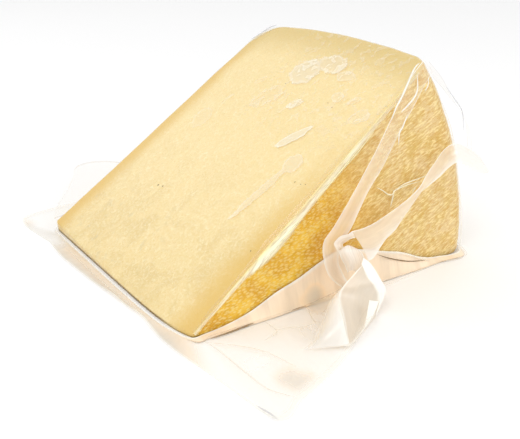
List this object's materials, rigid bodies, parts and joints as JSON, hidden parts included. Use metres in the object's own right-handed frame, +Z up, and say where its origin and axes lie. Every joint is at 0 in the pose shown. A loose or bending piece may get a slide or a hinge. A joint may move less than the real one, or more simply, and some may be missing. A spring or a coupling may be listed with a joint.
{
  "type": "vacuum-packed parmesan wedge",
  "caption": "Wedge of hard cheese cut from a whole wheel, lying on one cut face, in a clear vacuum bag with loose folds of film round its foot.",
  "frame": {"origin": "on the cheese's flat underside, within 6 mm of its middle, on the surface it lies on", "axes": "+Z up; +X from the thin tip edge towards the heel; +Y along the tip edge, from the rind with the gathered film to the far rind"},
  "size_m": [0.2551, 0.3187, 0.1373],
  "materials": {
    "hard_cheese": "pale straw yellow, golden at the rind, slightly shiny under the film",
    "clear_film": "clear, glossy, slightly milky where it folds"
  },
  "bodies": {
    "root": {"cheese_wedge": "hard_cheese", "clear_bag": "clear_film"}
  },
  "joints": []
}
